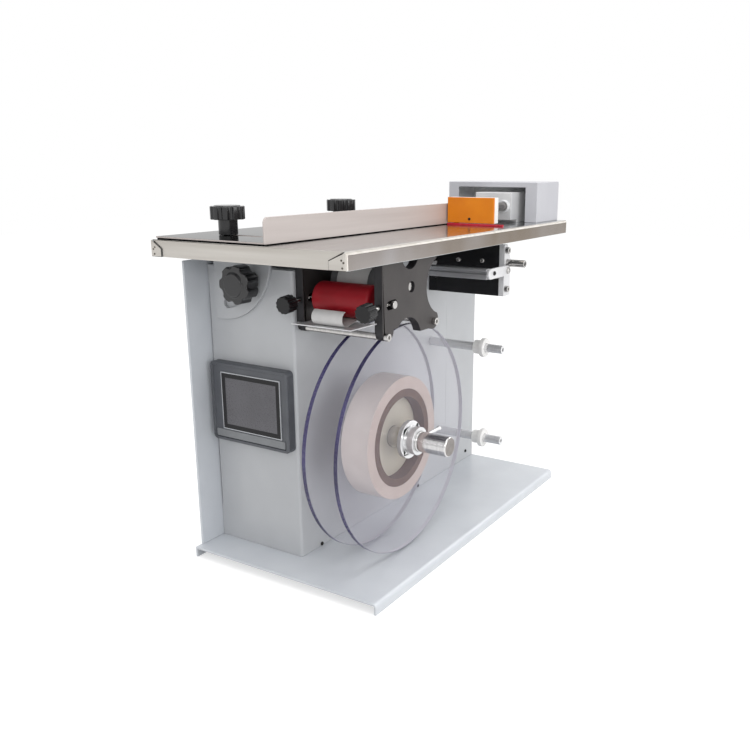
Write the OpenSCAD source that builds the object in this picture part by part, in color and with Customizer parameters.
// Corner labeling machine: a tilting table on a sheet metal body, with a label head and a reel at its side.
// Millimetres. X runs from the operator's left to the reel side, Y from the front to the back, Z up.
// The origin lies on the floor, under the middle of the machine.

/* [Base and body] */
// Width of the base plate
base_w = 222; // [200:1:260]
// Length of the base plate
base_l = 400; // [390:1:440]
// Height of the base plate, down to the lips it stands on
base_h = 11; // [8:0.5:20]
// Sheet thickness of the base plate
base_t = 2.5; // [1.5:0.5:4]
// Width of the body, side plate included
body_w = 108; // [104:1:112]
// Drop from the table top to the top of the body covers
body_drop = 27; // [26:0.5:30]
// Distance from the front of the base to the front of the body
body_setback = 38.5; // [36:0.5:44]
// Sheet thickness of the body covers
cover_t = 1.5; // [1:0.25:2.5]
// Outer bend radius of the body covers
cover_bend_r = 3; // [2.6:0.1:6]
// Length of the rear cover along the side
rear_cover_l = 75.5; // [60:0.5:90]
// Thickness of the side plate
side_t = 2.5; // [1.5:0.5:4]
// Distance from the front of the base to the front of the side plate
side_setback = 8.5; // [4:0.5:20]
// Height of the side plate above the body
side_rise = 6; // [0:0.5:7]
// Width of the open seam beside the front panel
seam_w = 1; // [0.5:0.1:2]

/* [Table] */
// Width of the table
table_w = 220; // [212:1:240]
// Length of the table
table_l = 460; // [456:1:500]
// Height of the table top above the floor
table_z = 321; // [320:0.5:328]
// Sheet thickness of the table
table_t = 1.5; // [1:0.25:2]
// Depth of the folded lip
lip_h = 15.3; // [12:0.1:16]
// Length of the right corner tabs folded over the lip
tab_l = 18; // [12:1:26]
// Length of the left corner tabs
left_tab_l = 13; // [10:1:26]
// Reach of the table past the left edge of the base
table_reach_left = 10; // [9:0.5:14]
// Reach of the table past the front of the base
table_reach_front = 17.5; // [12:0.5:24]
// Width of the label slot
label_slot_w = 60; // [50:1:70]
// Length of the label slot
label_slot_l = 9; // [7:0.5:11]

/* [Tilt lock] */
// Distance of the tilt axis from the outside of the body
tilt_inset = 22.5; // [20:0.5:26]
// Depth of the tilt axis below the table top
tilt_drop = 15; // [14:0.5:17]
// Radius of the tilt pins
tilt_pin_r = 4; // [3:0.25:5]
// Radius of the sector plate
sector_r = 63; // [60:1:70]
// Thickness of the sector plate
sector_t = 3; // [2:0.5:4]
// Radius of the arc slot
arc_slot_r = 47.5; // [45:0.5:50]
// Width of the arc slot
arc_slot_w = 10; // [9:0.5:12]
// Angle of the low end of the arc slot
arc_slot_low = -81; // [-85:1:-76]
// Angle of the lock stud on the arc slot
lock_angle = -31.4; // [-34:0.2:-29]
// Radius of the lock stud
lock_stud_r = 4; // [3:0.25:4.25]
// Radius of the star knob
star_r = 18; // [15:0.5:20]
// Length of the star knob's head
star_l = 15; // [10:0.5:18]

/* [Fence and press] */
// Height of the fence above the table
fence_h = 23.5; // [16:0.5:26]
// Length of the fence
fence_l = 342; // [320:1:350]
// Sheet thickness of the fence
fence_t = 1.5; // [1.5:0.25:3]
// Gap between the fence and the side of the press plate
fence_gap = 1.5; // [1:0.25:4]
// Thickness of the slip pad under the fence
pad_t = 1; // [0.5:0.25:2]
// Travel of the fence to the left
fence_travel = 40; // [20:1:45]
// Radius of the fence knobs
clamp_r = 16; // [13:0.5:18]
// Distance between the fence knobs
clamp_pitch = 177; // [150:1:190]
// Width of the press plate
press_w = 58; // [50:1:62]
// Height of the press plate
press_h = 28; // [26:0.5:34]
// Distance of the press plate above the table
press_gap = 2.5; // [2.25:0.25:4]
// Thickness of the orange press face
press_face_t = 3; // [2:0.5:5]
// Thickness of the white press block
press_block_t = 9; // [6:0.5:12]
// Radius of the press rods
press_rod_r = 5; // [3:0.5:6]
// Distance between the press rods
press_rod_pitch = 28; // [24:0.5:32]
// Stroke of the press
press_stroke = 30; // [10:1:35]
// Width of the press housing
housing_w = 117; // [110:1:124]
// Depth of the press housing
housing_d = 65; // [60:1:66]
// Height of the press housing
housing_h = 46; // [42:0.5:60]
// Sheet thickness of the press housing
housing_t = 1.5; // [1:0.25:2.5]

/* [Label head] */
// Thickness of the head plates
head_t = 8.5; // [8:0.5:10]
// Clear width between the head plates
head_gap = 78; // [76:0.5:82]
// Radius of the red nip roller
nip_r = 15.5; // [14:0.5:16]
// Radius of the drive roller
drive_r = 17.5; // [16:0.5:18]
// Length of both rollers
roller_l = 62; // [50:1:66]
// Gap between the rollers, filled by the liner
nip_gap = 1; // [0.8:0.05:1.5]
// Radius of the nip axle
nip_axle_r = 3.5; // [2.5:0.25:4]
// Opening travel of the nip roller
nip_travel = 3; // [1:0.5:3]
// Slope of the nip slots
nip_slope = 5; // [0:1:8]
// Radius of the drive shaft
drive_shaft_r = 4; // [3:0.25:5]
// Radius of the tension screws
tension_screw_r = 2.5; // [1.5:0.25:3]
// Radius of the tension knobs
tension_knob_r = 8; // [6:0.5:10]
// Radius of the tie bars
tie_bar_r = 3; // [2:0.25:3.5]
// Thickness of the liner guide sheet
guide_sheet_t = 1; // [0.6:0.1:1.2]
// Width of the liner
liner_w = 34; // [24:1:40]
// Thickness of the liner, drawn a little thick
liner_t = 0.4; // [0.2:0.05:0.4]
// Radius of the liner's loose curl
curl_r = 7; // [6:0.5:9]

/* [Peel unit] */
// Thickness of the peel plates
peel_t = 8; // [5:0.5:10]
// Thickness of the end plates
peel_end_t = 6.5; // [5:0.5:7]
// Height of the peel unit
peel_h = 56; // [50:1:57]
// Gap between the peel plates, where the web passes
peel_gap = 4; // [2:0.5:6]
// Radius of the peel shaft
peel_shaft_r = 4; // [3:0.25:4.5]
// Length of the swing arms between centres
arm_l = 40; // [36:0.5:48]
// Thickness of the swing arms
arm_t = 3; // [2:0.5:4]
// Height of the swing bar
bar_h = 11; // [8:0.5:12]
// Depth of the swing bar
bar_d = 10; // [8:0.5:12]

/* [Reel] */
// Radius of the reel shaft
reel_shaft_r = 10; // [8:0.5:12]
// Reach of the reel shaft past the right edge of the base
shaft_reach = 10; // [4:0.5:20]
// Gap between the clear discs and the base plate under them
disc_floor_gap = 2; // [1.5:0.5:10]
// Gap between the top of the clear discs and the lobes of the label head
disc_head_gap = 5.6; // [5:0.1:20]
// Thickness of the clear discs
disc_t = 4; // [3:0.5:5]
// Distance of the rear disc from the body
disc_offset = 36; // [30:0.5:40]
// Width of the label roll
roll_w = 30.5; // [24:0.5:36]
// Outer radius of the label roll
roll_r = 61.5; // [55:0.5:90]
// Outer radius of the cardboard core
core_r = 49; // [46:0.5:52]
// Wall thickness of the cardboard core
core_t = 8; // [4:0.5:10]
// Length of the hub inside the core
hub_l = 19; // [12:0.5:22]
// Radius of the collar's flange
collar_r = 19; // [18:0.5:24]
// Length of the collar
collar_l = 15; // [12:0.5:18]
// Radius of the guide rods
guide_rod_r = 5; // [3:0.5:6]
// Radius of the guide collars
guide_collar_r = 11; // [8:0.5:13]

/* [Control panel] */
// Width of the touch panel
panel_w = 98; // [90:1:100]
// Height of the touch panel
panel_h = 80; // [70:1:90]
// Depth of the touch panel in front of the body
panel_d = 10; // [6:0.5:14]
// Width of the screen
screen_w = 66; // [60:1:70]
// Height of the screen
screen_h = 49; // [44:1:54]

/* [Hidden] */
$fn = 64;
hull_fn = 32;
run_gap = 0.5;
bore_gap = 0.05;
soft_gap = 0.3;
bond_gap = 0.1;
through = 1;

base_front = -table_l / 2 + table_reach_front;
base_back = base_front + base_l;
body_left = -base_w / 2;
body_in = body_left + side_t;
body_right = body_left + body_w;
wall_in = body_right - cover_t;
body_front = base_front + body_setback;
body_back = base_back;
body_top = table_z - body_drop;
body_h = body_top - base_h;
seam_y = body_back - rear_cover_l;
seam_low = base_h + 34;
seam_high = body_top - 18;
side_front = base_front + side_setback;
side_top = body_top + side_rise;

table_left = body_left - table_reach_left;
table_right = table_left + table_w;
table_front = -table_l / 2;
table_back = table_l / 2;
table_under = table_z - table_t;
tab_t = 1.2;

tilt_x = body_left + tilt_inset;
tilt_z = table_z - tilt_drop;
sector_back = body_front - run_gap;
sector_y = sector_back - sector_t;
sector_edge = 8;
flange_l = 15;
lock_x = tilt_x + arc_slot_r * cos(lock_angle);
lock_z = tilt_z + arc_slot_r * sin(lock_angle);
arc_slot_high = lock_angle + 6;
beam_t = 2;
beam_l = 26;
beam_drop = 20;
bracket_t = 5;
bracket_r = 2 * tilt_pin_r;
bracket_foot_l = 10;
bracket_front_y = body_front + cover_t + run_gap;
bracket_inset = 20;
hinge_room = bracket_t + sector_t + flange_l + 2 * run_gap;
table_inner_back = table_back - tab_t - table_t;
bracket_rear_y = min(body_back - cover_t - bracket_inset, table_inner_back - hinge_room);
hinge_rear_y = bracket_rear_y + bracket_t + run_gap;
beam_front_y = body_front + cover_t;
beam_rear_y = bracket_rear_y + bracket_inset - beam_l;

fence_inset = 6.5;
fence_front = table_front + fence_inset;
pad_z = table_z;
flange_z = pad_z + pad_t;
fence_corner_r = 5;
clamp_x = table_left + 46;
clamp_front_y = table_front + 53;
clamp_stud_r = 4;
clamp_neck_r = 9;
clamp_neck_l = 14;
clamp_head_l = 12;
clamp_cap_l = 0.8;
fence_spare = 2;

housing_inset = 2.6;
housing_y = table_back - housing_inset - housing_d;
cylinder_nose = 20.4;
cylinder_y = housing_y - cylinder_nose;
press_reach = 56.6;
press_offset = 43.5;
press_x = body_right + press_offset;
fence_face = press_x - press_w / 2 - fence_gap;
press_y = cylinder_y - press_reach;
press_z = table_z + press_gap;
block_y = press_y + press_face_t;
press_back = block_y + press_block_t;
rod_z = table_z + 19;
press_rod_x = [press_x - press_rod_pitch / 2, press_x + press_rod_pitch / 2];
cylinder_l = 70;
cylinder_w = press_rod_pitch + 18;
cylinder_h = 31;
cylinder_foot_h = 3;
gland_r = press_rod_r + 2;
gland_l = 3;
strip_t = 2.6;
strip_h = press_gap - run_gap;
strip_w = press_w + 12;
slot_y = press_y - 1 + strip_t;
housing_left = 70.5;
housing_x = press_x - housing_left;
housing_frame_left = 13.5;
housing_frame_right = 15;
housing_frame_top = 6;

head_x0 = body_right;
head_x1 = head_x0 + head_t;
head_x2 = head_x1 + head_gap;
head_x3 = head_x2 + head_t;
head_front = body_front + 4.5;
head_top = table_z - 10;
head_l = 91.6;
lobe_r = 9;
lobe_z = head_top - 64.4;
rear_lobe = [head_front + 86.8, lobe_z - 1.6];
arch = [head_front + 41.3, lobe_z - 16.3];
arch_r = 23.3;
scoop = [head_front + 101.8, head_top - 34];
scoop_r = 27.4;
notch = [head_front + 45.5, head_top];
notch_r = 14;
nip = [head_front + 15.85, head_top - 42];
nip_angle = 20.2;
drive = nip + (nip_r + drive_r + nip_gap) * [cos(nip_angle), sin(nip_angle)];
nip_slot_r = nip_axle_r + soft_gap;
tie_front = [head_front + 4.5, lobe_z - 4.8];
tie_rear = [head_front + 86.8, lobe_z - 3];
tie_screw_r = 2;
roller_x = head_x1 + (head_gap - roller_l) / 2;
drive_tail = wall_in - 15;
counter_r = drive_shaft_r + 1;
counter_l = 3;
tension_knob_l = 12;
tension_reach = 28;

liner_inset = 8;
liner_x = roller_x + liner_inset;
liner_drive_r = drive_r + nip_gap / 2;
liner_nip_r = nip_r + nip_gap / 2;
curl = nip + [-17.85, -13.9];
curl_far = norm(curl - nip);
curl_dir = atan2(curl[1] - nip[1], curl[0] - nip[0]);
liner_heading = curl_dir - asin((liner_nip_r - curl_r) / curl_far);
liner_leave = liner_heading + 90;
curl_end = 105;
guide_top = curl[1] - curl_r - liner_t / 2 - soft_gap;
guide_front = curl[0] - curl_r - 1.5;
guide_back = nip[0] + 10;
guide_bend_x = head_x1 + 60;
guide_bend = 18;

peel_inset = 15.9;
peel_y = press_y - peel_inset;
peel_z = table_z - 18 - peel_h;
peel_split = 19;
peel_end_l = 16;
peel_x1 = head_x3;
peel_x0 = head_x3 - peel_end_t;
peel_left = body_right + peel_end_t + arm_t + 2 * run_gap;
arm_pin_r = 2.5;
arm_r = 5.5;
arm_y = peel_y + 1.5;
arm_z = peel_z + 28.6;
bar_y = arm_y - arm_l;
peel_shaft = [peel_y + 8, peel_z + 36];
peel_shaft_end = peel_x1 + 21;

reel_y = base_front + 113.5;
disc_r = (lobe_z - disc_head_gap - base_h - disc_floor_gap) / 2;
reel_z = base_h + disc_floor_gap + disc_r;
shaft_end = base_w / 2 + shaft_reach;
disc_x = body_right + disc_offset;
roll_x = disc_x + disc_t + soft_gap;
front_disc_x = roll_x + roll_w + soft_gap + 0.2;
collar_x = front_disc_x + disc_t;
collar_flange_l = 5;
collar_hub_r = reel_shaft_r + 4;
core_bore_r = core_r - core_t;
barrel_l = 50;
barrel_wall = 8;
barrel_r = reel_shaft_r + barrel_wall;
barrel_flange_w = 10;
barrel_flange_r = barrel_r + barrel_flange_w;
hub_boss_l = 12;
hub_boss_r = reel_shaft_r + barrel_wall;
barrel_flange_l = 4;
groove_l = 1.3;
groove_d = 0.5;
lever_l = 32;
lever_r = 1.8;
lever_screw_r = 2.5;
lever_x = collar_x + collar_flange_l + (collar_l - collar_flange_l) / 2;

guide_upper = [seam_y - 37, base_h + 175];
guide_lower = [seam_y - 18, base_h + 60.6];
guide_upper_l = 94;
guide_lower_l = 86;
guide_stud_r = 4;
guide_nut_r = 7;
guide_nut_l = 5;
guide_tap_r = 2.1;
guide_tap_l = 12;
guide_collar_l = 14;
guide_flange_l = 5;

panel_x = body_in + 4.5;
panel_z = base_h + 110;
panel_body_d = 30;
panel_rim = 5;
screen_border = 4.5;
screen_t = 1;
screen_x = panel_x + (panel_w - screen_w) / 2 + 2.5;
screen_z = panel_z + (panel_h - screen_h) / 2 + 1.5;
screen_sink = 1.5;

motor_w = 42.3;
motor_l = 48;
motor_x = wall_in - 28.5;
motor_shaft_r = 2.5;
motor_bore_l = 12;
pillar_r = 3;
pillar_pitch = 31;
coupling_r = 9.5;
coupling_l = 22;
supply = [80, 100, 30];
valve = [22, 62, 40];
inlet_w = 27;
inlet_h = 47;
inlet_d = 22;
inlet_x = body_in + 30;
inlet_z = base_h + 26;
rocker_w = 19;
rocker_h = 12.8;
rocker_r = 7.5;
rocker_gap = 0.4;
rocker_z = inlet_z + 34;
rocker_pin_r = 1.2;
air_x = body_right - 24;
air_z = base_h + 40;
air_tube_r = 3;
air_nut_r = 8;
air_l = 14;
air_bore_l = 16;

// Shapes that several pieces share

// Extrudes an outline drawn in Y and Z along X
module across(x, w) {
    translate([x, 0, 0])
        rotate([90, 0, 90])
            linear_extrude(w)
                children();
}

// Extrudes an outline drawn in X and Z along Y
module lengthwise(y, l) {
    translate([0, y + l, 0])
        rotate([90, 0, 0])
            linear_extrude(l)
                children();
}

// Round bar along X
module bar_x(x0, x1, at, r) {
    translate([x0, at[0], at[1]])
        rotate([0, 90, 0])
            cylinder(h = x1 - x0, r = r);
}

// Round bar along Y
module bar_y(y0, y1, at, r) {
    translate([at[0], y1, at[1]])
        rotate([90, 0, 0])
            cylinder(h = y1 - y0, r = r);
}

// Shape revolved about an axis along X, drawn as radius and distance along X
module turned_x(x, at) {
    translate([x, at[0], at[1]])
        rotate([0, 90, 0])
            rotate_extrude()
                children();
}

// Slot outline of a given length between its end centres
module slot_outline(l, r) {
    translate([0, -r])
        square([l, 2 * r]);
    circle(r);
    translate([l, 0])
        circle(r);
}

// Disc with scallops cut into its rim
module scalloped(r, count, cut_r, cut_at) {
    difference() {
        circle(r);
        for (i = [0:count - 1])
            rotate(360 * i / count)
                translate([cut_at, 0])
                    circle(cut_r);
    }
}

// Two walls of a folded cover, with the bend's outer corner at the origin
module folded_walls(front_l, side_l) {
    translate([-front_l, 0])
        square([front_l - cover_bend_r, cover_t]);
    translate([-cover_t, cover_bend_r])
        square([cover_t, side_l - cover_bend_r]);
    intersection() {
        translate([-cover_bend_r, cover_bend_r])
            difference() {
                circle(cover_bend_r);
                circle(cover_bend_r - cover_t);
            }
        translate([-cover_bend_r, 0])
            square(cover_bend_r);
    }
}

// Body

module base_plate() {
    color("gainsboro")
        difference() {
            translate([body_left, base_front, 0])
                cube([base_w, base_l, base_h]);
            translate([body_left + base_t, base_front - through, -through])
                cube([base_w - 2 * base_t, base_l + 2 * through, base_h - base_t + through]);
        }
}

module side_plate() {
    color("gainsboro")
        translate([body_left, side_front, base_h])
            cube([side_t, body_back - side_front, side_top - base_h]);
}

module body_cover() {
    color("gainsboro")
        difference() {
            translate([body_right, body_front, base_h])
                linear_extrude(body_h)
                    folded_walls(body_right - body_in, seam_y - body_front);
            translate([body_in - through, body_front - through, seam_low])
                cube([seam_w + through, cover_t + 2 * through, seam_high - seam_low]);
            translate([panel_x + panel_rim, body_front - through, panel_z + panel_rim])
                cube([panel_w - 2 * panel_rim, cover_t + 2 * through, panel_h - 2 * panel_rim]);
            bar_y(body_front - through, body_front + cover_t + through, [lock_x, lock_z],
                lock_stud_r + bore_gap);
            bar_x(wall_in - through, body_right + through, [reel_y, reel_z], reel_shaft_r + 2);
            bar_x(wall_in - through, body_right + through, drive, drive_shaft_r + 2);
            for (at = [guide_upper, guide_lower])
                bar_x(wall_in - through, body_right + through, at, guide_stud_r + bond_gap);
        }
}

module rear_cover() {
    color("gainsboro")
        difference() {
            translate([body_right, body_back, base_h])
                mirror([0, 1, 0])
                    linear_extrude(body_h)
                        folded_walls(body_right - body_in, body_back - seam_y);
            translate([inlet_x, body_back - cover_t - through, inlet_z])
                cube([inlet_w, cover_t + 2 * through, inlet_h]);
            bar_y(body_back - cover_t - through, body_back + through, [air_x, air_z],
                air_tube_r + 2 + bond_gap);
        }
}

// Angle beams across the top of the body, which carry the tilt hinges
module cross_beam(y, web_at_back) {
    w = wall_in - body_in;
    translate([body_in, y, body_top - beam_t])
        cube([w, beam_l, beam_t]);
    translate([body_in, web_at_back ? y + beam_l - beam_t : y, body_top - beam_drop])
        cube([w, beam_t, beam_drop]);
}

module cross_beams() {
    color("darkgray") {
        cross_beam(beam_front_y, true);
        cross_beam(beam_rear_y, false);
    }
}

// Bracket outline with a round eye on the tilt axis
module bracket_outline() {
    translate([tilt_x, tilt_z])
        circle(bracket_r);
    translate([tilt_x - bracket_r, body_top])
        square([2 * bracket_r, tilt_z - body_top]);
}

module hinge_brackets() {
    color("dimgray") {
        lengthwise(bracket_front_y, bracket_t)
            bracket_outline();
        translate([tilt_x - bracket_r, bracket_front_y, body_top])
            cube([2 * bracket_r, bracket_foot_l, beam_t]);
        bar_y(sector_y, bracket_front_y + bracket_t, [tilt_x, tilt_z], tilt_pin_r);
        lengthwise(bracket_rear_y, bracket_t)
            bracket_outline();
        translate([tilt_x - bracket_r, bracket_rear_y + bracket_t - bracket_foot_l, body_top])
            cube([2 * bracket_r, bracket_foot_l, beam_t]);
        bar_y(bracket_rear_y, hinge_rear_y + sector_t, [tilt_x, tilt_z], tilt_pin_r);
    }
}

// Control panel

module panel_block(inset, depth) {
    translate([panel_x + inset, body_front - depth, panel_z + inset])
        cube([panel_w - 2 * inset, depth, panel_h - 2 * inset]);
}

module touch_panel() {
    bevel = 3;
    inner = panel_rim + soft_gap;
    border_w = screen_w + 2 * screen_border;
    border_h = screen_h + 2 * screen_border;
    color("#505458")
        difference() {
            union() {
                hull() {
                    panel_block(0, panel_d - bevel);
                    panel_block(bevel, panel_d);
                }
                translate([panel_x + inner, body_front - through, panel_z + inner])
                    cube([panel_w - 2 * inner, panel_body_d + through, panel_h - 2 * inner]);
            }
            translate([screen_x - screen_border, body_front - panel_d - through, screen_z - screen_border])
                cube([border_w, screen_sink + through, border_h]);
        }
}

module panel_screen() {
    front = body_front - panel_d + screen_sink - screen_t;
    color("#666266")
        translate([screen_x - screen_border, front, screen_z - screen_border])
            cube([screen_w + 2 * screen_border, screen_t, screen_h + 2 * screen_border]);
}

// Label head

module head_outline() {
    difference() {
        union() {
            translate([head_front, lobe_z])
                square([head_l, head_top - lobe_z]);
            translate([head_front + lobe_r, lobe_z])
                circle(lobe_r);
            translate(rear_lobe)
                circle(lobe_r);
            translate([arch[0], lobe_z - lobe_r])
                square([rear_lobe[0] - arch[0], lobe_r]);
        }
        translate(arch)
            circle(arch_r);
        translate(scoop)
            circle(scoop_r);
        translate(notch)
            circle(notch_r);
        translate(drive)
            circle(drive_shaft_r + bore_gap);
        translate(nip)
            rotate(nip_slope)
                translate([-nip_travel - 2, 0])
                    slot_outline(nip_travel + 2 + nip_axle_r, nip_slot_r);
        for (at = [tie_front, tie_rear])
            translate(at)
                circle(tie_screw_r + bond_gap);
    }
}

// Places children on the tension screw's axis, with Z pointing out of the front of the head
module on_tension_axis(x) {
    translate([x, nip[0], nip[1]])
        rotate([90 + nip_slope, 0, 0])
            children();
}

module head_plate(x) {
    difference() {
        across(x, head_t)
            head_outline();
        on_tension_axis(x + head_t / 2)
            cylinder(h = tension_reach, r = tension_screw_r + bore_gap);
    }
}

module head_plate_left() {
    color("#2c2c2e")
        head_plate(head_x0);
}

module head_plate_right() {
    color("#4a4645")
        difference() {
            head_plate(head_x2);
            bar_x(head_x3 - counter_l, head_x3 + through, drive, counter_r);
        }
}

module tie_bar(at) {
    difference() {
        bar_x(head_x1, head_x2, at, tie_bar_r);
        bar_x(head_x2 - 10, head_x2 + through, at, tie_screw_r + bond_gap);
    }
}

module head_bars() {
    color("silver") {
        tie_bar(tie_front);
        tie_bar(tie_rear);
    }
}

// Socket head screw along X, with its head resting on a face
module cap_screw(face_x, at, grip) {
    head_r = tie_screw_r + 1.5;
    difference() {
        bar_x(face_x, face_x + 2 * tie_screw_r, at, head_r);
        translate([face_x + tie_screw_r, at[0], at[1]])
            rotate([0, 90, 0])
                cylinder(h = tie_screw_r + through, r = tie_screw_r * 0.85, $fn = 6);
    }
    bar_x(face_x - grip, face_x, at, tie_screw_r);
}

module cap_screws() {
    color("silver") {
        cap_screw(head_x3, tie_front, head_t + 8);
        cap_screw(head_x3, tie_rear, head_t + 8);
        cap_screw(peel_x1, [peel_y + peel_t / 2, peel_z + 8], peel_end_t);
        cap_screw(peel_x1, [peel_y + peel_t / 2, peel_z + peel_h - 6], peel_end_t);
    }
}

// Thin sheet under the rollers, wider in front of the head plates, with one end bent up
module liner_guide() {
    ear_l = head_front - run_gap - guide_front;
    color("lightgray")
        for (part = [
            [head_x0 + 2, head_x2 + 3, guide_front, ear_l],
            [head_x1, head_x2, guide_front, guide_back - guide_front]
        ])
            lengthwise(part[2], part[3])
                intersection() {
                    union() {
                        translate([part[0], guide_top - guide_sheet_t])
                            square([guide_bend_x - part[0], guide_sheet_t]);
                        translate([guide_bend_x, guide_top - guide_sheet_t])
                            rotate(guide_bend)
                                square([head_x3 - guide_bend_x, guide_sheet_t]);
                    }
                    translate([part[0], guide_top - 2 * guide_sheet_t])
                        square([part[1] - part[0], head_top - guide_top]);
                }
}

// Points on an arc in Y and Z, starting at a numbered step
function arc_points(at, r, from, to, first, steps) =
    [for (i = [first:steps]) let (a = from + (to - from) * i / steps) at + r * [cos(a), sin(a)]];

// One side of the liner: over the drive roller, round the nip roller and into the loose curl
function liner_side(shift) = concat(
    arc_points(drive, liner_drive_r - shift, 80, 180 + nip_angle, 0, 12),
    arc_points(nip, liner_nip_r + shift, nip_angle, liner_leave, 1, 10),
    arc_points(curl, curl_r + shift, liner_leave, curl_end - 360, 0, 18)
);

module liner_strip() {
    near = liner_side(liner_t / 2);
    far = liner_side(-liner_t / 2);
    count = len(far);
    color("white")
        across(liner_x, liner_w)
            polygon(concat(near, [for (i = [1:count]) far[count - i]]));
}

module drive_roller() {
    color("dimgray") {
        bar_x(roller_x, roller_x + roller_l, drive, drive_r);
        bar_x(drive_tail, head_x3 - 2, drive, drive_shaft_r);
    }
}

module drive_coupling() {
    x0 = drive_tail - coupling_l / 2;
    color("silver")
        difference() {
            union() {
                bar_x(x0, x0 + coupling_l, drive, coupling_r);
                bar_x(motor_x - motor_bore_l + 1, x0, drive, motor_shaft_r);
            }
            bar_x(drive_tail, x0 + coupling_l + through, drive, drive_shaft_r);
        }
}

module nip_axle() {
    color("silver")
        bar_x(head_x0 + 1, head_x3 + 3, nip, nip_axle_r);
}

module nip_roller() {
    edge_r = 3;
    bore_r = nip_axle_r + bore_gap;
    color("#7d1423")
        turned_x(roller_x, nip) {
            translate([bore_r, edge_r])
                square([nip_r - bore_r, roller_l - 2 * edge_r]);
            translate([bore_r, 0])
                square([nip_r - edge_r - bore_r, roller_l]);
            for (y = [edge_r, roller_l - edge_r])
                translate([nip_r - edge_r, y])
                    circle(edge_r);
        }
}

module tension_knob(x) {
    tip = nip_axle_r + soft_gap;
    color("#1c1c1e")
        on_tension_axis(x) {
            translate([0, 0, tip])
                cylinder(h = tension_reach - tip, r = tension_screw_r);
            translate([0, 0, tension_reach])
                linear_extrude(tension_knob_l)
                    scalloped(tension_knob_r, 12, 1.2, tension_knob_r + 0.5);
            translate([0, 0, tension_reach - 2])
                cylinder(h = 2, r = tension_knob_r - 2.5);
        }
}

module tension_knob_left() {
    tension_knob(head_x0 + head_t / 2);
}

module tension_knob_right() {
    tension_knob(head_x2 + head_t / 2);
}

// Peel unit

module peel_plate(z, h) {
    color("#141416")
        translate([peel_left, peel_y, z])
            cube([peel_x0 - peel_left, peel_t, h]);
}

module peel_plate_lower() {
    peel_plate(peel_z, peel_split);
}

module peel_plate_upper() {
    difference() {
        peel_plate(peel_z + peel_split + peel_gap, peel_h - peel_split - peel_gap);
        bar_x(peel_left - through, peel_x0 + through, peel_shaft, peel_shaft_r + bond_gap);
    }
}

// End plate outline with its upper back corner cut off
module peel_end_outline() {
    cut = peel_end_l / 2;
    difference() {
        translate([peel_y, peel_z])
            polygon([[0, 0], [peel_end_l, 0], [peel_end_l, peel_h - 2 * cut],
                [peel_end_l - cut, peel_h], [0, peel_h]]);
        translate(peel_shaft)
            circle(peel_shaft_r + bond_gap);
    }
}

module peel_end_left() {
    color("silver") {
        across(body_right, peel_end_t)
            peel_end_outline();
        bar_x(body_right + peel_end_t, peel_left - run_gap, [arm_y, arm_z], arm_pin_r);
        across(body_right + peel_end_t, peel_left - body_right - peel_end_t)
            translate([peel_y, peel_z])
                square([peel_t, peel_split - 4]);
    }
}

module peel_end_right() {
    color("silver")
        difference() {
            union() {
                across(peel_x0, peel_end_t)
                    peel_end_outline();
                bar_x(peel_x1, peel_x1 + arm_t + run_gap + 1.5, [arm_y, arm_z], arm_pin_r);
            }
            for (z = [peel_z + 8, peel_z + peel_h - 6])
                bar_x(peel_x0 - through, peel_x1 + through, [peel_y + peel_t / 2, z], tie_screw_r + bond_gap);
        }
}

module peel_shaft() {
    color("silver")
        difference() {
            bar_x(body_right, peel_shaft_end, peel_shaft, peel_shaft_r);
            bar_x(peel_shaft_end - guide_tap_l, peel_shaft_end + through, peel_shaft, guide_tap_r);
        }
}

module swing_bar() {
    x0 = body_right + peel_end_t + run_gap + arm_t;
    x1 = peel_x1 + run_gap;
    groove = 2;
    color("lightgray")
        difference() {
            translate([x0, bar_y - bar_d / 2, arm_z - bar_h / 2])
                cube([x1 - x0, bar_d, bar_h]);
            translate([x0 - through, bar_y - bar_d / 2 - through, arm_z])
                cube([x1 - x0 + 2 * through, through + groove, bar_h / 4]);
        }
}

module swing_arm(x) {
    across(x, arm_t)
        difference() {
            translate([bar_y, arm_z])
                slot_outline(arm_l, arm_r);
            translate([arm_y, arm_z])
                circle(arm_pin_r + bore_gap);
        }
}

module swing_arms() {
    color("silver") {
        swing_arm(body_right + peel_end_t + run_gap);
        swing_arm(peel_x1 + run_gap);
    }
}

// Reel

module reel_shaft() {
    groove_x = collar_x + collar_l + 1;
    chamfer = 1;
    color("silver")
        turned_x(wall_in - barrel_flange_l - barrel_l - 4, [reel_y, reel_z]) {
            l = shaft_end - wall_in + barrel_flange_l + barrel_l + 4;
            groove_at = groove_x - shaft_end + l;
            square([reel_shaft_r, groove_at]);
            translate([0, groove_at])
                square([reel_shaft_r - groove_d, groove_l]);
            translate([0, groove_at + groove_l])
                square([reel_shaft_r, l - groove_at - groove_l - chamfer]);
            polygon([[0, l - chamfer], [reel_shaft_r, l - chamfer], [reel_shaft_r - chamfer, l], [0, l]]);
            translate([0, -3])
                square([reel_shaft_r + 4, 3]);
        }
}

module bearing_barrel() {
    x0 = wall_in - barrel_flange_l;
    color("dimgray")
        difference() {
            union() {
                bar_x(x0, wall_in, [reel_y, reel_z], barrel_flange_r);
                bar_x(x0 - barrel_l, x0, [reel_y, reel_z], barrel_r);
            }
            bar_x(x0 - barrel_l - through, wall_in + through, [reel_y, reel_z], reel_shaft_r + bore_gap);
        }
}

module ring_x(x, l, outer_r, inner_r) {
    difference() {
        bar_x(x, x + l, [reel_y, reel_z], outer_r);
        bar_x(x - through, x + l + through, [reel_y, reel_z], inner_r);
    }
}

module rear_disc() {
    color("lavender", 0.4)
        ring_x(disc_x, disc_t, disc_r, reel_shaft_r + bond_gap);
}

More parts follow.
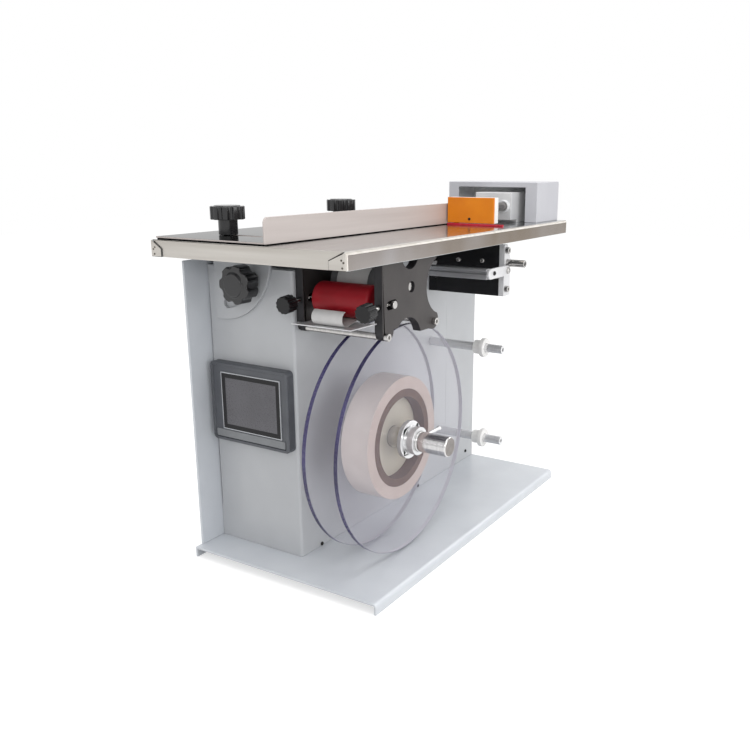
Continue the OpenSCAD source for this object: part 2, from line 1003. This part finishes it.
module reel_hub() {
    color("ivory") {
        ring_x(disc_x + disc_t, hub_l, core_bore_r - bond_gap, reel_shaft_r + bond_gap);
        ring_x(disc_x - hub_boss_l, hub_boss_l, hub_boss_r, reel_shaft_r + bond_gap);
    }
}

module roll_core() {
    color("#8a6f5c")
        ring_x(roll_x, roll_w, core_r, core_bore_r);
}

module label_roll() {
    color("#ead9d4")
        ring_x(roll_x, roll_w, roll_r, core_r + bond_gap);
}

module front_disc() {
    color("lavender", 0.4)
        ring_x(front_disc_x, disc_t, disc_r, reel_shaft_r + soft_gap);
}

module reel_collar() {
    bolt_at = (collar_hub_r + collar_r) / 2;
    hub_x = collar_x + collar_flange_l;
    bore_r = reel_shaft_r + bore_gap;
    color("silver")
        difference() {
            union() {
                ring_x(collar_x, collar_flange_l, collar_r, bore_r);
                ring_x(hub_x, collar_l - collar_flange_l, collar_hub_r, bore_r);
            }
            for (i = [0:3])
                bar_x(collar_x - through, hub_x + through,
                    [reel_y + bolt_at * cos(90 * i + 45), reel_z + bolt_at * sin(90 * i + 45)], 1.6);
            bar_y(reel_y + reel_shaft_r - 1, reel_y + collar_hub_r + through, [lever_x, reel_z],
                lever_screw_r + bore_gap);
        }
}

module clamp_lever() {
    screw_y = reel_y + reel_shaft_r + soft_gap;
    color("silver") {
        bar_y(screw_y, reel_y + collar_hub_r + 4, [lever_x, reel_z], lever_screw_r);
        bar_y(reel_y + collar_hub_r + 4, reel_y + collar_hub_r + lever_l, [lever_x, reel_z], lever_r);
        translate([lever_x, reel_y + collar_hub_r + lever_l, reel_z])
            sphere(lever_r + 0.6);
    }
}

module guide_rod(at, l) {
    end = body_right + l;
    difference() {
        union() {
            bar_x(body_right, end, at, guide_rod_r);
            bar_x(wall_in - guide_nut_l, body_right, at, guide_stud_r);
            translate([wall_in - guide_nut_l, at[0], at[1]])
                rotate([0, 90, 0])
                    cylinder(h = guide_nut_l, r = guide_nut_r, $fn = 6);
        }
        bar_x(end - guide_tap_l, end + through, at, guide_tap_r);
    }
}

module guide_rods() {
    color("gray") {
        guide_rod(guide_upper, guide_upper_l);
        guide_rod(guide_lower, guide_lower_l);
    }
}

module guide_collar(at, x) {
    color("white")
        difference() {
            union() {
                bar_x(x, x + guide_collar_l, at, guide_collar_r - 3);
                bar_x(x + guide_collar_l - guide_flange_l, x + guide_collar_l, at, guide_collar_r);
            }
            bar_x(x - through, x + guide_collar_l + through, at, guide_rod_r + bore_gap);
        }
}

module guide_collar_upper() {
    guide_collar(guide_upper, body_right + 59);
}

module guide_collar_lower() {
    guide_collar(guide_lower, body_right + 50);
}

// Pieces inside and behind the body

module drive_motor() {
    color("#2a2a2c")
        difference() {
            union() {
                translate([motor_x - motor_l, drive[0] - motor_w / 2, drive[1] - motor_w / 2])
                    cube([motor_l, motor_w, motor_w]);
                for (dy = [-1, 1], dz = [-1, 1])
                    bar_x(motor_x, wall_in, drive + pillar_pitch / 2 * [dy, dz], pillar_r);
            }
            bar_x(motor_x - motor_bore_l, motor_x + through, drive, motor_shaft_r + bore_gap);
        }
}

module power_supply() {
    color("silver")
        translate([body_in + 10, body_back - cover_t - supply[1] - 30, base_h])
            cube(supply);
}

module air_valve() {
    color("silver")
        translate([body_in, body_back - cover_t - valve[1] - 40, base_h + 90])
            cube(valve);
}

// Power inlet with the frame of its rocker switch
module power_inlet() {
    lip = 2.5;
    window_x = inlet_x + (inlet_w - rocker_w) / 2 - rocker_gap;
    window_z = rocker_z - rocker_h / 2 - rocker_gap;
    color("#1a1a1c")
        difference() {
            union() {
                translate([inlet_x + bond_gap, body_back - inlet_d, inlet_z + bond_gap])
                    cube([inlet_w - 2 * bond_gap, inlet_d, inlet_h - 2 * bond_gap]);
                translate([inlet_x - lip, body_back, inlet_z - lip])
                    cube([inlet_w + 2 * lip, lip, inlet_h + 2 * lip]);
            }
            translate([inlet_x + 1.5, body_back - 14, inlet_z + 4])
                cube([inlet_w - 3, 14 + lip + through, 16]);
            translate([window_x, body_back - rocker_r, window_z])
                cube([rocker_w + 2 * rocker_gap, rocker_r + lip + through, rocker_h + 2 * rocker_gap]);
            bar_x(inlet_x + (inlet_w - rocker_w) / 2 - 2.5, inlet_x + (inlet_w + rocker_w) / 2 + 2.5,
                [body_back, rocker_z], rocker_pin_r + bore_gap);
        }
    color("silver")
        for (dx = [-7, 0, 7])
            translate([inlet_x + inlet_w / 2 + dx - 1, body_back - 14, inlet_z + 10 + (dx == 0 ? 3 : 0)])
                cube([2, 11, 4]);
}

module switch_rocker() {
    x0 = inlet_x + (inlet_w - rocker_w) / 2;
    color("#b5202a") {
        intersection() {
            bar_x(x0, x0 + rocker_w, [body_back, rocker_z], rocker_r - rocker_gap);
            translate([x0, body_back - 4, rocker_z - rocker_h / 2 + 0.8])
                cube([rocker_w, 10, rocker_h - 1.6]);
        }
        bar_x(x0 - 2, x0 + rocker_w + 2, [body_back, rocker_z], rocker_pin_r);
    }
}

module air_inlet() {
    color("silver")
        difference() {
            union() {
                bar_y(body_back, body_back + air_l, [air_x, air_z], air_nut_r - 2);
                translate([air_x, body_back + 5, air_z])
                    rotate([90, 0, 0])
                        cylinder(h = 5, r = air_nut_r, $fn = 6);
                bar_y(body_back - cover_t - 10, body_back, [air_x, air_z], air_tube_r + 2);
            }
            bar_y(body_back + air_l - air_bore_l, body_back + air_l + through, [air_x, air_z], air_tube_r);
        }
}

// Table

// Tab folded from the side lip over the end lip, with a mitred top
module corner_tab(l) {
    polygon([[0, 0], [l, 0], [l, lip_h * 0.5], [2, lip_h - 0.5], [0, lip_h - 0.5]]);
}

module table_top() {
    under = table_z - lip_h;
    color("#c9c7c2") {
        difference() {
            translate([table_left, table_front + tab_t, under])
                cube([table_w, table_l - 2 * tab_t, lip_h]);
            translate([table_left + table_t, table_front + tab_t + table_t, under - through])
                cube([table_w - 2 * table_t, table_l - 2 * tab_t - 2 * table_t, lip_h - table_t + through]);
            translate([press_x - label_slot_w / 2, slot_y, table_under - through])
                cube([label_slot_w, label_slot_l, table_t + 2 * through]);
            for (y = [clamp_front_y, clamp_front_y + clamp_pitch])
                translate([clamp_x, y, table_under - through])
                    cylinder(h = table_t + 2 * through, r = clamp_stud_r + bore_gap);
        }
        for (y = [table_front, table_back - tab_t]) {
            lengthwise(y, tab_t)
                translate([table_left, under])
                    corner_tab(left_tab_l);
            lengthwise(y, tab_t)
                translate([table_right, under])
                    mirror([1, 0])
                        corner_tab(tab_l);
        }
    }
}

// Sector outline around the tilt axis, with the arc slot for the lock stud
module sector_outline() {
    high = table_under - tilt_z;
    difference() {
        intersection() {
            circle(sector_r);
            translate([-sector_edge, -sector_r])
                square([sector_edge + sector_r, sector_r + high]);
        }
        circle(tilt_pin_r + bore_gap);
        intersection() {
            difference() {
                circle(arc_slot_r + arc_slot_w / 2);
                circle(arc_slot_r - arc_slot_w / 2);
            }
            polygon([[0, 0], 2 * sector_r * [cos(arc_slot_low), sin(arc_slot_low)],
                2 * sector_r * [cos(arc_slot_high), sin(arc_slot_high)]]);
        }
        for (a = [arc_slot_low, arc_slot_high])
            translate(arc_slot_r * [cos(a), sin(a)])
                circle(arc_slot_w / 2 - bore_gap);
    }
}

module sector_plate() {
    color("gainsboro") {
        lengthwise(sector_y, sector_t)
            translate([tilt_x, tilt_z])
                sector_outline();
        translate([tilt_x - sector_edge, sector_y, table_under - sector_t])
            cube([sector_r - 6, flange_l + sector_t, sector_t]);
    }
}

module rear_hinge_plate() {
    w = 2 * bracket_r;
    color("gainsboro") {
        lengthwise(hinge_rear_y, sector_t)
            difference() {
                union() {
                    translate([tilt_x, tilt_z])
                        circle(bracket_r);
                    translate([tilt_x - bracket_r, tilt_z])
                        square([w, table_under - tilt_z]);
                }
                translate([tilt_x, tilt_z])
                    circle(tilt_pin_r + bore_gap);
            }
        translate([tilt_x - bracket_r, hinge_rear_y, table_under - sector_t])
            cube([w + 30, flange_l + sector_t, sector_t]);
    }
}

module wiper_strip() {
    color("#c8102e")
        translate([press_x - press_w / 2, press_y - 1, table_z])
            cube([strip_w, strip_t, strip_h]);
}

module press_housing() {
    inner_w = housing_w - 2 * housing_t;
    color("white")
        difference() {
            translate([housing_x, housing_y, table_z])
                cube([housing_w, housing_d, housing_h]);
            translate([housing_x + housing_t, housing_y + housing_t, table_z - through])
                cube([inner_w, housing_d - 2 * housing_t, housing_h - housing_t + through]);
            translate([housing_x + housing_frame_left, housing_y - through, table_z - through])
                cube([housing_w - housing_frame_left - housing_frame_right, housing_t + 2 * through,
                    housing_h - housing_frame_top + through]);
        }
}

module press_cylinder() {
    bottom = rod_z - cylinder_h / 2;
    color("#d9dad8")
        difference() {
            union() {
                translate([press_x - cylinder_w / 2, cylinder_y, bottom])
                    cube([cylinder_w, cylinder_l, cylinder_h]);
                translate([press_x - cylinder_w / 2, cylinder_y + 18, table_z])
                    cube([cylinder_w, cylinder_l - 18, bottom - table_z]);
                for (x = press_rod_x)
                    bar_y(cylinder_y - gland_l, cylinder_y, [x, rod_z], gland_r);
            }
            for (x = press_rod_x)
                bar_y(cylinder_y - gland_l - through, cylinder_y + cylinder_l - 6, [x, rod_z],
                    press_rod_r + bore_gap);
        }
}

module press_rods() {
    color("silver")
        for (x = press_rod_x)
            bar_y(press_back, cylinder_y + press_stroke + 16, [x, rod_z], press_rod_r);
}

module press_block() {
    color("white")
        translate([press_x - press_w / 2, block_y, press_z])
            cube([press_w, press_block_t, press_h]);
}

module press_face() {
    color("#dc7d19")
        translate([press_x - press_w / 2, press_y, press_z])
            cube([press_w, press_face_t, press_h]);
}

// Slots for the fence knobs, which let the fence slide across the table
module clamp_slots(z, h) {
    for (y = [clamp_front_y, clamp_front_y + clamp_pitch])
        translate([clamp_x - fence_spare, y, z - through])
            linear_extrude(h + 2 * through)
                slot_outline(fence_travel + fence_spare, clamp_stud_r + soft_gap);
}

module fence() {
    top = table_z + fence_h;
    color("#d7cbc8") {
        across(fence_face - fence_t, fence_t) {
            translate([fence_front + fence_corner_r, flange_z])
                square([fence_l - fence_corner_r, top - flange_z]);
            translate([fence_front, flange_z])
                square([fence_corner_r, top - fence_corner_r - flange_z]);
            translate([fence_front + fence_corner_r, top - fence_corner_r])
                circle(fence_corner_r);
        }
        difference() {
            translate([table_left, fence_front, flange_z])
                cube([fence_face - table_left, fence_l, fence_t]);
            clamp_slots(flange_z, fence_t);
        }
    }
}

module fence_pad() {
    inset = 0.8;
    color("#161616")
        difference() {
            translate([table_left + inset, fence_front + inset, pad_z])
                cube([fence_face - table_left - 2 * inset, fence_l - 2 * inset, pad_t]);
            clamp_slots(pad_z, pad_t);
        }
}

module fence_knob(y) {
    seat = flange_z + fence_t + soft_gap;
    stud_end = table_under + soft_gap;
    color("#1c1c1e")
        translate([clamp_x, y, 0]) {
            translate([0, 0, stud_end])
                cylinder(h = seat - stud_end, r = clamp_stud_r);
            translate([0, 0, seat])
                cylinder(h = clamp_neck_l, r = clamp_neck_r);
            translate([0, 0, seat + clamp_neck_l])
                linear_extrude(clamp_head_l)
                    scalloped(clamp_r, 10, 2.6, clamp_r + 0.6);
            translate([0, 0, seat + clamp_neck_l + clamp_head_l])
                cylinder(h = clamp_cap_l, r = clamp_r - 4);
        }
}

module fence_knob_front() {
    fence_knob(clamp_front_y);
}

module fence_knob_rear() {
    fence_knob(clamp_front_y + clamp_pitch);
}

module star_knob() {
    neck_l = 10;
    neck_r = 8;
    seat = sector_y - soft_gap;
    color("#1c1c1e") {
        bar_y(seat, body_front + cover_t + 8, [lock_x, lock_z], lock_stud_r);
        bar_y(seat - neck_l, seat, [lock_x, lock_z], neck_r);
        lengthwise(seat - neck_l - star_l, star_l)
            translate([lock_x, lock_z])
                scalloped(star_r, 7, 5, star_r + 2.6);
        bar_y(seat - neck_l - star_l - 2, seat - neck_l - star_l, [lock_x, lock_z], star_r - 7);
    }
}

base_plate();
side_plate();
body_cover();
rear_cover();
cross_beams();
hinge_brackets();
touch_panel();
panel_screen();
head_plate_left();
head_plate_right();
head_bars();
cap_screws();
liner_guide();
liner_strip();
peel_plate_upper();
peel_plate_lower();
peel_end_left();
peel_end_right();
peel_shaft();
guide_rods();
bearing_barrel();
drive_motor();
power_supply();
air_valve();
power_inlet();
switch_rocker();
air_inlet();
table_top();
sector_plate();
rear_hinge_plate();
wiper_strip();
press_housing();
press_cylinder();
press_rods();
press_block();
press_face();
fence();
fence_pad();
fence_knob_front();
fence_knob_rear();
star_knob();
drive_roller();
drive_coupling();
nip_axle();
nip_roller();
tension_knob_left();
tension_knob_right();
swing_bar();
swing_arms();
reel_shaft();
rear_disc();
reel_hub();
roll_core();
label_roll();
front_disc();
reel_collar();
clamp_lever();
guide_collar_upper();
guide_collar_lower();
